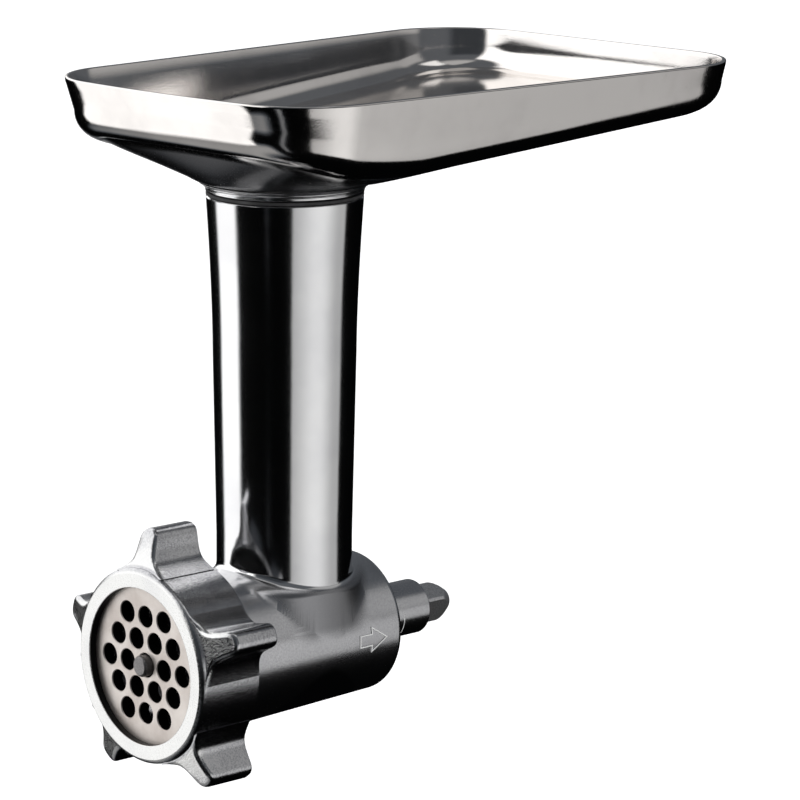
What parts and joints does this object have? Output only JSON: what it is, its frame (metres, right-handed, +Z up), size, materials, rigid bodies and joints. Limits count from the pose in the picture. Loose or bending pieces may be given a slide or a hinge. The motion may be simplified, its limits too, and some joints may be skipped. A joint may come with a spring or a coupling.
{
  "type": "meat grinder attachment",
  "caption": "Hub-driven meat grinder head: round barrel with auger, knife and drilled plate under a lobed ring nut, tall feed tube and a lift-off tray.",
  "frame": {"origin": "on the barrel and auger axis, in the plane of the shoulder round the rear spigot", "axes": "+Z up along the feed tube; +Y to the rear, along the auger axis and out through the drive shank; +X to the side that carries the raised arrow"},
  "size_m": [0.1645, 0.251, 0.2553],
  "materials": {
    "cast_metal": "cast and polished, satin along the barrel",
    "ring_metal": "cast lobes, turned front face",
    "auger_metal": "cast, satin",
    "neck_metal": "turned and polished",
    "tray_steel": "pressed stainless sheet, mirror polish",
    "plate_steel": "ground flat, matt",
    "knife_steel": "hardened, ground edge",
    "shank_steel": "forged skin, grey",
    "stud_steel": "turned",
    "pin_steel": "ground pin",
    "bearing_plastic": "natural acetal",
    "rubber": "matt black"
  },
  "bodies": {
    "casting": {"grinder_body": "cast_metal", "plate_key": "pin_steel", "rear_bush": "bearing_plastic", "shaft_seal": "rubber"},
    "auger": {"auger_screw": "auger_metal", "drive_shank": "shank_steel", "shank_pin": "pin_steel", "thrust_washer": "bearing_plastic", "knife_stud": "stud_steel", "knife": "knife_steel"},
    "plate": {"grinding_plate": "plate_steel"},
    "ring": {"ring_nut": "ring_metal"},
    "seal_ring": {"tray_seal_ring": "rubber"},
    "tray": {"tray_neck": "neck_metal", "tray_pan": "tray_steel"}
  },
  "joints": [
    {"name": "auger_spin", "type": "hinge", "parent": "casting", "child": "auger", "pos_m": [0, 0, 0], "axis": [0, 1, 0], "continuous": true},
    {"name": "plate_slide", "type": "slide", "parent": "casting", "child": "plate", "axis": [0, -1, 0], "range_m": [0, 0.0125]},
    {"name": "ring_nut_turn", "type": "hinge", "parent": "plate", "child": "ring", "pos_m": [0, -0.1072, 0], "axis": [0, -1, 0], "range_deg": [0, 1080]},
    {"name": "tray_lift", "type": "slide", "parent": "casting", "child": "seal_ring", "axis": [0, 0, 1], "range_m": [0, 0.06]},
    {"name": "tray_swivel", "type": "hinge", "parent": "seal_ring", "child": "tray", "pos_m": [0, -0.037, 0.1698], "axis": [0, 0, 1], "continuous": true}
  ],
  "couplings": [
    {"joint": "plate_slide", "follows": "ring_nut_turn", "m_per_rad": 0.00063662}
  ]
}
